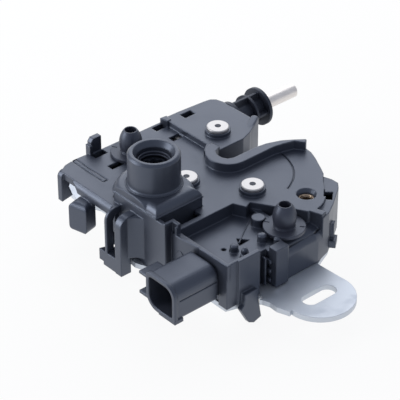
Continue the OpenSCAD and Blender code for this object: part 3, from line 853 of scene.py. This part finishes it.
@dataclass
class KeyWell:
    """Rings in the key tower's bore, the star-shaped socket below them and the bead at the tower's foot.

    Attributes:
        bore: radius of the tower's bore.
        ring_low: height of the seal ring's foot.
        ring_high: height of its crown.
        ring_wall: thickness of the ring with its clearance.
        ring_gap: clearance on each side of the ring.
        star_low: height of the star's foot, on the rotor's face.
        star_high: height of its top.
        star_radius: mean inner radius of the star.
        star_wave: height of its teeth.
        star_teeth: number of teeth.
        star_gap: clearance between star and bore.
        star_chamfer: of the star's upper edges.
        foot_radius: radius of the bead round the tower's foot.
        foot_height: height of the bead's centre.
        bead: radius of the bead.
    """

    bore: float = 9.0
    ring_low: float = 52.75
    ring_high: float = 54.2
    ring_wall: float = 1.15
    ring_gap: float = 0.04
    star_low: float = 47.05
    star_high: float = 50.4
    star_radius: float = 6.7
    star_wave: float = 0.75
    star_teeth: int = 10
    star_gap: float = 0.4
    star_chamfer: float = 0.2
    foot_radius: float = 14.75
    foot_height: float = 40.95
    bead: float = 0.42

    def build(self, shop: Workshop) -> None:
        """Builds the ring, the star, which turns with the key, and the bead.

        Args:
            shop: makes the pieces.
        """
        shop.piece(self._ring(), "bore_ring", Slot.RUBBER)
        shop.piece(self._star(), "star_socket", Slot.INNER, Body.KEY)
        shop.piece(self._foot(), "tower_foot_bead", Slot.HOUSING)

    def _ring(self) -> Surface:
        """A ring on the seal, whose crown is a half circle as wide as the ring.

        Returns:
            The turned ring.
        """
        middle = self.bore - self.ring_wall / 2
        half = self.ring_wall / 2 - self.ring_gap
        arc = np.linspace(0, np.pi, 9)
        crown = [(middle + half * math.cos(a), self.ring_high - half + half * math.sin(a)) for a in arc]
        section = [(middle + half, self.ring_low), *crown, (middle - half, self.ring_low)]
        return lathe(section, Place.KEY.value, steps=96)

    def _star(self) -> Surface:
        """A ring whose inner side is waved into teeth.

        Returns:
            The turned star.
        """
        inner, outer = self.star_radius, self.bore - self.star_gap
        shoulder = self.star_high - self.star_chamfer
        section = [
            (inner + self.star_chamfer, self.star_high),
            (inner, shoulder),
            (inner, self.star_low),
            (outer, self.star_low),
            (outer, shoulder),
            (outer - self.star_chamfer, self.star_high),
        ]
        return lathe(section, Place.KEY.value, steps=120, lobes=self.star_teeth, depth=self.star_wave)

    def _foot(self) -> Surface:
        """A thin bead of round section about the tower's foot.

        Returns:
            The turned bead.
        """
        turn = np.linspace(0, 2 * np.pi, 12, endpoint=False)
        round_section = np.stack([np.cos(turn), np.sin(turn)], 1) * self.bead
        return lathe(round_section + (self.foot_radius, self.foot_height), Place.KEY.value, steps=128)


@dataclass
class ThreadCoil:
    """Thread of the screw insert under the cover's countersunk hole.

    Attributes:
        radius: of the coil's centre line.
        wire: radius of the thread's crest.
        low: height of the first turn.
        high: height of the last turn.
        turns: number of turns.
        points: points along the centre line.
    """

    radius: float = 3.35
    wire: float = 0.34
    low: float = 20.0
    high: float = 26.9
    turns: float = 6.5
    points: int = 240

    def build(self, shop: Workshop) -> None:
        """Builds a helix, on which the angle grows evenly with the height.

        Args:
            shop: makes the piece.
        """
        share = np.linspace(0, 1, self.points)
        angle = 2 * np.pi * self.turns * share
        x, y = Place.SCREW.value
        height = self.low + (self.high - self.low) * share
        path = np.stack([x + self.radius * np.cos(angle), y + self.radius * np.sin(angle), height], 1)
        shop.piece(tube(path, self.wire, steps=8), "screw_thread", Slot.BRASS)


@dataclass(frozen=True)
class TrayPost:
    """One domed stud of the tray: its name, centre, radius, and the heights of its foot and crown."""

    name: str
    centre: Pair
    radius: float
    foot: float
    crown: float


@dataclass
class TrayFittings:
    """Domed studs and the low ridge on the floor of the tray.

    Attributes:
        studs: the studs that the photograph shows.
        ridge_start: end of the ridge near the right wall, on the tray's floor.
        ridge_end: its other end.
        floor: height of the tray's floor.
        ridge: radius of the ridge's rounded section.
    """

    studs: tuple[TrayPost, ...] = (
        TrayPost("stud_front_left", (26.7, -36.9), radius=2.12, foot=25.0, crown=26.8),
        TrayPost("stud_front_right", (33.9, -36.2), radius=2.0, foot=23.5, crown=28.4),
        TrayPost("stud_by_peg", (29.5, -20.5), radius=2.42, foot=25.6, crown=27.4),
        TrayPost("stud_by_wall", (36.2, -16.1), radius=2.02, foot=25.2, crown=26.8),
    )
    ridge_start: Pair = (23.6, -31.0)
    ridge_end: Pair = (10.9, -11.6)
    floor: float = 23.0
    ridge: float = 0.45

    def build(self, shop: Workshop) -> None:
        """Builds the studs and the ridge, which is a tube half sunk in the floor.

        Args:
            shop: makes the pieces.
        """
        for stud in self.studs:
            shop.piece(turned(dome(stud.radius, stud.foot, stud.crown), stud.centre), stud.name, Slot.HOUSING)
        path = np.linspace((*self.ridge_start, self.floor), (*self.ridge_end, self.floor), 12)
        shop.piece(tube(path, self.ridge), "tray_ridge", Slot.HOUSING)


@dataclass
class TrenchRibs:
    """Stepped ribs in the dark trench beside the slab of the right wall.

    Attributes:
        root: x of the trench's floor.
        slab: y of the slab's side.
        rib_reach: how far the standing rib stands out of the trench.
        rib_side: its sides, as distances from the slab.
        rib_heights: of its foot and top.
        step_reach: how far the steps stand out.
        step_side: their sides, as distances from the slab.
        steps: heights of the middle of each step.
        step_high: height of one step.
        radius: of the rounded edges.
    """

    root: float = 37.2
    slab: float = -24.45
    rib_reach: float = 2.94
    rib_side: Pair = (-3.4, -2.4)
    rib_heights: Pair = (4.0, 21.0)
    step_reach: float = 4.2
    step_side: Pair = (-1.2, 0.2)
    steps: Triple = (7.0, 12.5, 18.0)
    step_high: float = 2.2
    radius: float = 0.4

    def build(self, shop: Workshop) -> None:
        """Builds the standing rib and the steps as one piece.

        Args:
            shop: makes the piece.
        """
        ribs = self._rib(self.rib_side, self.rib_heights, self.rib_reach)
        for middle in self.steps:
            heights = (middle - self.step_high / 2, middle + self.step_high / 2)
            ribs = ribs.joined(self._rib(self.step_side, heights, self.step_reach))
        shop.piece(ribs, "trench_ribs", Slot.HOUSING)

    def _rib(self, side: Pair, heights: Pair, reach: float) -> Surface:
        """One rounded rib, from the trench's floor out by its reach.

        Args:
            side: its sides, as distances from the slab.
            heights: of its foot and top.
            reach: how far it stands out.

        Returns:
            The closed rib.
        """
        low = (self.root, self.slab + side[0], heights[0])
        high = (self.root + reach, self.slab + side[1], heights[1])
        return rounded_block(low, high, self.radius)


@dataclass
class FrontWall:
    """Dark strip of painted shade in the gap at the end of the front panel, the small arch beside it and the wall's
    run to the tray.

    Attributes:
        gap_shade_low: lowest corner of the dark strip, painted shade in the panel's gap.
        gap_shade_high: its highest corner.
        gap_shade_edge: radius of its edges.
        arch_centre: middle of the arch, on the wall's face.
        arch_radius: of the arch's centre line.
        arch_ends: degrees at which the arch starts and ends.
        arch_line: radius of its rounded section.
        run: foot of the wedge that leads the wall's face to the tray's rim, as (x, y) corners.
        run_low: height of the wedge's foot.
        run_high: height of its top, flush with the rim.
    """

    gap_shade_low: Triple = (1.05, -60.1, 6.0)
    gap_shade_high: Triple = (1.45, -56.9, 35.0)
    gap_shade_edge: float = 0.15
    arch_centre: Triple = (8.0, -56.58, 19.8)
    arch_radius: float = 2.2
    arch_ends: Pair = (168.0, 12.0)
    arch_line: float = 0.26
    run: tuple[Pair, ...] = ((1.6, -56.56), (9.4, -56.56), (20.4, -55.02), (20.4, -53.6), (1.6, -55.4))
    run_low: float = 5.6
    run_high: float = 30.03

    def build(self, shop: Workshop) -> None:
        """Builds the strip of painted shade, the arch, whose centre line is part of a circle on the wall, and the
        wedge.

        Args:
            shop: makes the pieces.
        """
        # painted shade: a dark sheet in the inner finish stands for the shadow deep in the gap
        shop.piece(rounded_block(self.gap_shade_low, self.gap_shade_high, self.gap_shade_edge), "panel_gap_shade", Slot.INNER)
        turn = np.radians(np.linspace(*self.arch_ends, 24))
        x, y, z = self.arch_centre
        arch = [x + self.arch_radius * np.cos(turn), np.full_like(turn, y), z + self.arch_radius * np.sin(turn)]
        shop.piece(tube(np.stack(arch, 1), self.arch_line, steps=8), "wall_arch", Slot.HOUSING)
        shop.piece(prism(self.run, self.run_low, self.run_high), "wall_run", Slot.HOUSING)


@dataclass
class PlungerCoil:
    """Round-wire spring of the plunger, built at one fixed length, though the real spring shortens as the rod slides
    in.

    Attributes:
        axis: x and z of the rod's axis.
        low: y of the coil's fixed end.
        high: y of its end at the clip.
        radius: of the coil's centre line.
        wire: radius of the wire.
        turns: number of turns.
        keep: share of its length that is left at the rod's limit; not used.
    """

    axis: Pair = (-67.0, 24.0)
    low: float = 10.4
    high: float = 29.8
    radius: float = 5.6
    wire: float = 0.62
    turns: int = 6
    keep: float = 0.505

    def build(self, shop: Workshop) -> None:
        """Builds the coil in the place of the CAD spring, hides that spring and gives the coil a mesh of its own.

        Args:
            shop: makes the piece.
        """
        coil = shop.piece(self._coil(), "plunger_coil", Slot.SPRING)
        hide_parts("plunger_spring")
        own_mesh(coil)

    def _coil(self, around: int = 36, across: int = 12) -> Surface:
        """A coil about Y.

        With a round the axis and b round the wire, a point lies radius + wire cos b from the axis, in the
        direction (cos a, sin a) of x and z, and wire sin b beyond the height that grows evenly with a. The
        first and last half turns lie flat, as ground ends do.

        Args:
            around: points in one turn.
            across: points round the wire.

        Returns:
            The closed wire.
        """
        turn = 2 * np.pi * np.linspace(0, self.turns, self.turns * around + 1)[:, None]
        ring = np.linspace(0, 2 * np.pi, across, endpoint=False)[None]
        reach = self.radius + self.wire * np.cos(ring)
        share = np.clip((turn / (2 * np.pi) - 0.5) / (self.turns - 1), 0, 1)
        x = self.axis[0] + reach * np.cos(turn)
        z = self.axis[1] + reach * np.sin(turn)
        y = self.low + (self.high - self.low) * share + self.wire * np.sin(ring)
        return capped(np.stack([x, y, z], -1))


# ---------------------------------------------------------------- studio
@dataclass(frozen=True)
class Lamp:
    """A round soft lamp: its name, place in metres, size and power."""

    name: str
    place: Triple
    size: float
    power: float


@dataclass
class Studio:
    """White floor, two soft lamps and the photograph's camera.

    Attributes:
        target: the point that the camera looks at, in metres.
        back: unit vector from the target to the camera.
        distance: from target to camera in metres.
        lens: focal length in millimetres.
        sensor: width of the camera's sensor in millimetres.
        view: nearest and farthest distance that the camera shows, in metres.
        lamps: the soft lamps.
        sky: colour of the surround.
        fill: strength of the surround.
        floor_half: half the floor's side in metres.
        floor_white: how much of the light the floor throws back.
        floor_glow: share by which the floor shines by itself.
    """

    target: Vector = field(default_factory=lambda: Vector((-0.011, -0.0265, 0.030)))
    back: Vector = field(default_factory=lambda: Vector((0.6236, -0.5478, 0.5577)))
    distance: float = 1.0
    lens: float = 175.2
    sensor: float = 36.0
    view: Pair = (0.05, 20.0)
    lamps: tuple[Lamp, ...] = (
        Lamp("left", (-0.66, -0.80, 0.40), size=0.80, power=7.5),
        Lamp("back", (-0.50, 0.44, 0.45), size=1.00, power=3.6),
    )
    sky: Triple = (0.90, 0.96, 1.10)
    fill: float = 0.5
    floor_half: float = 2.0
    floor_white: float = 0.9
    floor_glow: float = 0.9

    def build(self, floor_z: float) -> None:
        """Makes the floor, lamps, world and camera.

        Args:
            floor_z: height of the floor in metres.
        """
        self._floor(floor_z)
        self._world()
        for lamp in self.lamps:
            self._lamp(lamp)
        self._camera()
        bpy.context.scene.view_settings.view_transform = "Standard"

    def _floor(self, z: float) -> None:
        """A white floor that glows a little, so that it shows white and keeps a soft shadow.

        Args:
            z: its height in metres.
        """
        half = self.floor_half
        corners = np.array([[-half, -half, z], [half, -half, z], [half, half, z], [-half, half, z]])
        floor = Surface(corners / MM, [[0, 1, 2, 3]]).build("floor")
        material = bpy.data.materials.new("floor")
        graph = Graph(material)
        white = self.floor_white
        shade = graph.add("ShaderNodeBsdfDiffuse", inputs={"Color": (white, white, white, 1.0)})
        glow = graph.add("ShaderNodeEmission", inputs={"Color": (1.0, 1.0, 1.0, 1.0), "Strength": 1.0})
        both = graph.add("ShaderNodeMixShader", self.floor_glow, shade, glow)
        graph.add("ShaderNodeOutputMaterial", inputs={"Surface": both})
        floor.data.materials.append(material)

    def _world(self) -> None:
        """A plain cool fill all round, because the white floor fills the camera's view."""
        world = bpy.data.worlds.new("studio")
        bpy.context.scene.world = world
        graph = Graph(world)
        fill = graph.add("ShaderNodeBackground", inputs={"Color": (*self.sky, 1.0), "Strength": self.fill})
        graph.add("ShaderNodeOutputWorld", inputs={"Surface": fill})

    def _lamp(self, lamp: Lamp) -> None:
        """Adds a disc lamp that faces the latch.

        Args:
            lamp: its place, size and power.
        """
        data = bpy.data.lights.new(lamp.name, "AREA")
        data.shape = "DISK"
        data.size = lamp.size
        data.energy = lamp.power
        obj = bpy.data.objects.new(lamp.name, data)
        bpy.context.scene.collection.objects.link(obj)
        obj.location = lamp.place
        aim = self.target - Vector(lamp.place)
        obj.rotation_euler = aim.to_track_quat("-Z", "Y").to_euler()

    def _camera(self) -> None:
        """Adds the camera that the photograph was solved for."""
        data = bpy.data.cameras.new("photo_camera")
        data.lens = self.lens
        data.sensor_width = self.sensor
        data.clip_start, data.clip_end = self.view
        camera = bpy.data.objects.new("photo_camera", data)
        bpy.context.scene.collection.objects.link(camera)
        camera.location = self.target + self.back.normalized() * self.distance
        camera.rotation_euler = (-self.back).to_track_quat("-Z", "Y").to_euler()
        bpy.context.scene.camera = camera


# ---------------------------------------------------------------- the whole latch
@dataclass
class HoodLatch:
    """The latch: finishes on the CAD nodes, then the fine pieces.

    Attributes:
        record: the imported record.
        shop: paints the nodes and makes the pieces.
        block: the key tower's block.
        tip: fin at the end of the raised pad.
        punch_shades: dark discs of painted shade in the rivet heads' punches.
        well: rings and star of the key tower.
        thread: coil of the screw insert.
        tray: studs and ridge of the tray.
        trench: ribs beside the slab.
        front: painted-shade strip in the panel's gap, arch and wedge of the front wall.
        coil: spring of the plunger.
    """

    record: dict
    shop: Workshop
    block: KeyBlock = field(default_factory=KeyBlock)
    tip: PadTip = field(default_factory=PadTip)
    punch_shades: RivetPunchShades = field(default_factory=RivetPunchShades)
    well: KeyWell = field(default_factory=KeyWell)
    thread: ThreadCoil = field(default_factory=ThreadCoil)
    tray: TrayFittings = field(default_factory=TrayFittings)
    trench: TrenchRibs = field(default_factory=TrenchRibs)
    front: FrontWall = field(default_factory=FrontWall)
    coil: PlungerCoil = field(default_factory=PlungerCoil)

    def dress(self) -> None:
        """Gives every CAD node the finish of its slot."""
        for entry in self.record["subparts"]:
            self.shop.paint(self.shop.nodes[entry["node"]], Slot(entry["material_slot"]))
            LOG.info("node %s: %s", entry["node"], entry["material_slot"])

    def build(self) -> None:
        """Dresses the nodes and builds each sub-assembly's pieces in order."""
        self.dress()
        plastic = (self.block, self.tip, self.punch_shades, self.well, self.thread, self.tray, self.trench, self.front)
        for part in (*plastic, self.coil):
            part.build(self.shop)
        LOG.info("%d fine pieces", self.shop.made)


def main() -> None:
    """Builds the latch and the studio in order."""
    logging.basicConfig(level=logging.INFO)
    makers = FinishMaker({finish.slot: finish for finish in FINISHES})
    HoodLatch(frame["record"], Workshop(makers, frame["nodes"])).build()
    Studio().build(floor_z=CAD_BOUNDS[0].z)


if __name__ == "__main__":
    main()
